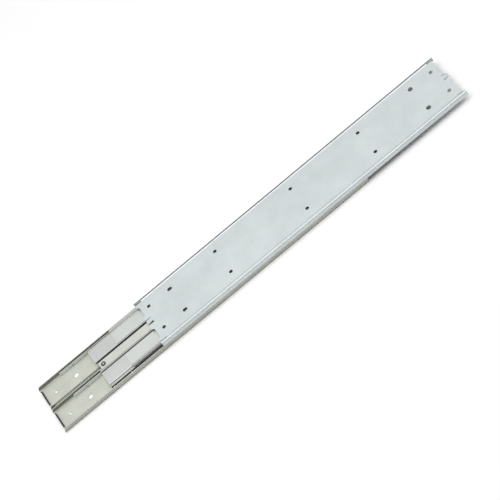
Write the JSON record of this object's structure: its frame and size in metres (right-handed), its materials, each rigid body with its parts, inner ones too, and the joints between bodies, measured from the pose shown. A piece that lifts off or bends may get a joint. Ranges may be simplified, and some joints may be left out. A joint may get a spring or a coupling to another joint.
{
  "type": "cabinet drawer slide",
  "caption": "Heavy-duty telescopic cabinet drawer slide: rolled zinc-plated rails, ball-guided intermediate deck and a wide perforated drawer plate pulling out to full extension.",
  "frame": {"origin": "On the cabinet mounting face, at the centre of the cabinet rails' screw pattern.", "axes": "+X along the travel, towards the opening side; +Y across the slide; +Z from the cabinet face to the drawer face."},
  "size_m": [0.9324, 0.122, 0.0191],
  "materials": {
    "zinc_cabinet": "warm zinc-plated sheet",
    "zinc_plate": "bluish zinc-plated sheet",
    "zinc_tray": "zinc-plated sheet",
    "zinc_track": "zinc-plated sheet",
    "steel_race": "ground steel",
    "zinc_strip": "zinc-plated sheet",
    "zinc_channel": "zinc-plated sheet",
    "zinc_cage": "thin zinc-plated sheet",
    "steel_lug": "zinc-plated",
    "steel_pin": "turned steel",
    "steel_ball": "polished steel",
    "black_rubber": "matt black",
    "black_clip": "matt black"
  },
  "bodies": {
    "cabinet_member": {"cabinet_rail_far": "zinc_cabinet", "cabinet_rail_near": "zinc_cabinet", "rail_tie_rear": "black_clip", "rail_tie_front": "black_clip", "rear_bumper_far": "black_rubber", "rear_bumper_near": "black_rubber", "cabinet_stop_far": "steel_lug", "cabinet_stop_near": "steel_lug"},
    "lower_cage": {"lower_retainer_outer_far": "zinc_cage", "lower_retainer_inner_far": "zinc_cage", "lower_retainer_inner_near": "zinc_cage", "lower_retainer_outer_near": "zinc_cage", "lower_balls_outer_far": "steel_ball", "lower_balls_inner_far": "steel_ball", "lower_balls_inner_near": "steel_ball", "lower_balls_outer_near": "steel_ball"},
    "intermediate_member": {"intermediate_channel_far": "zinc_tray", "intermediate_channel_near": "zinc_tray", "intermediate_keel_far": "zinc_channel", "intermediate_keel_near": "zinc_channel", "upper_track_far": "zinc_track", "upper_track_near": "zinc_track", "upper_race_far": "steel_race", "upper_race_near": "steel_race", "intermediate_stop_far": "steel_lug", "intermediate_stop_near": "steel_lug", "bridge_strip": "zinc_strip", "bridge_rivets": "steel_pin", "rear_stop_pin": "steel_pin", "rear_stop_ring": "black_rubber", "front_stop": "steel_lug"},
    "upper_cage": {"upper_retainer_far": "zinc_cage", "upper_retainer_near": "zinc_cage", "upper_balls_far": "steel_ball", "upper_balls_near": "steel_ball"},
    "drawer_member": {"drawer_plate": "zinc_plate"}
  },
  "joints": [
    {"name": "intermediate_slide", "type": "slide", "parent": "cabinet_member", "child": "intermediate_member", "axis": [1, 0, 0], "range_m": [-0.0964, 0.2536]},
    {"name": "drawer_slide", "type": "slide", "parent": "intermediate_member", "child": "drawer_member", "axis": [1, 0, 0], "range_m": [-0.136, 0.214]},
    {"name": "lower_cage_slide", "type": "slide", "parent": "cabinet_member", "child": "lower_cage", "axis": [1, 0, 0], "range_m": [-0.0482, 0.1268]},
    {"name": "upper_cage_slide", "type": "slide", "parent": "intermediate_member", "child": "upper_cage", "axis": [1, 0, 0], "range_m": [-0.068, 0.107]}
  ],
  "couplings": [
    {"joint": "lower_cage_slide", "follows": "intermediate_slide", "ratio": 0.5},
    {"joint": "upper_cage_slide", "follows": "drawer_slide", "ratio": 0.5}
  ]
}
